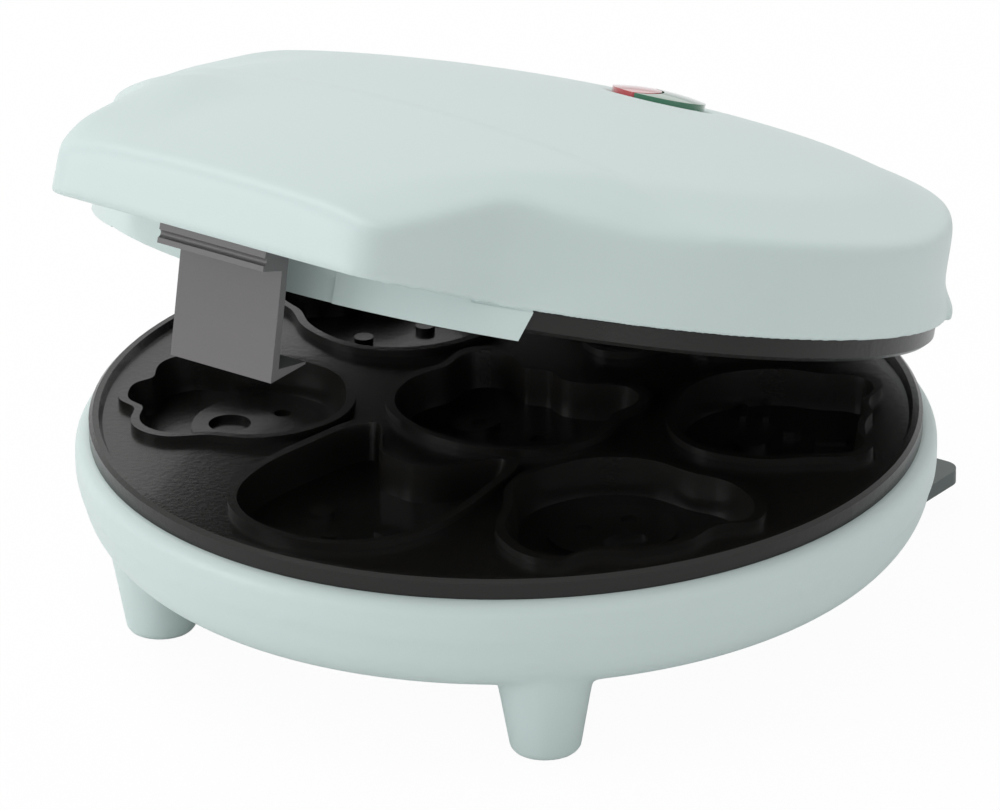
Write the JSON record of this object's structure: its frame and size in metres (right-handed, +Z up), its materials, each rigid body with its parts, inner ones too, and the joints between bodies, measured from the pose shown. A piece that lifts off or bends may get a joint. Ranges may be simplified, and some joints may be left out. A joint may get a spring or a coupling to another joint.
{
  "type": "animal waffle maker",
  "caption": "Round tabletop waffle maker with seven animal-face moulds, a hinged domed lid with a handle nose, a snap latch and four legs.",
  "frame": {"origin": "on the table under the centre of the lower cooking plate", "axes": "+Z up, +Y to the hinge at the rear, +X to the right seen from the latch; the lid is stored 17.5 degrees open as in the picture"},
  "size_m": [0.2256, 0.2505, 0.1637],
  "materials": {
    "mint_plastic": "satin moulded plastic",
    "grey_plastic": "satin moulded plastic",
    "wrap_plastic": "satin moulded plastic",
    "coated_plate": "glossy non-stick coating on cast aluminium",
    "rubber": "moulded rubber",
    "element_steel": "drawn tube",
    "steel_sheet": "pressed sheet",
    "screw_steel": "plated",
    "pin_steel": "ground",
    "black_plastic": "moulded",
    "white_plastic": "moulded",
    "red_lens": "polished tinted plastic",
    "green_lens": "polished tinted plastic",
    "lamp_glass": "clear"
  },
  "bodies": {
    "base": {"lower_housing": "mint_plastic", "foot_pads": "rubber", "lower_plate": "coated_plate", "lower_element": "element_steel", "lower_reflector": "steel_sheet", "lower_plate_screws": "screw_steel", "thermostat": "black_plastic", "thermal_fuse": "element_steel", "terminal_block": "white_plastic", "cord_outlet": "black_plastic", "cord_wrap": "wrap_plastic", "cord_wrap_screws": "screw_steel", "hinge_pins": "pin_steel"},
    "lid": {"upper_housing": "mint_plastic", "front_apron": "mint_plastic", "upper_plate": "coated_plate", "upper_element": "element_steel", "upper_reflector": "steel_sheet", "upper_plate_screws": "screw_steel", "red_lens": "red_lens", "green_lens": "green_lens", "lamp_holder": "white_plastic", "signal_lamps": "lamp_glass", "latch_pin": "pin_steel"},
    "latch": {"latch": "grey_plastic"}
  },
  "joints": [
    {"name": "lid_hinge", "type": "hinge", "parent": "base", "child": "lid", "pos_m": [0, 0.1205, 0.05], "axis": [-1, 0, 0], "range_deg": [-17.5, 72.5]},
    {"name": "latch_pivot", "type": "hinge", "parent": "lid", "child": "latch", "pos_m": [0, -0.10983, 0.14255], "axis": [-1, 0, 0], "range_deg": [0, 20]}
  ]
}
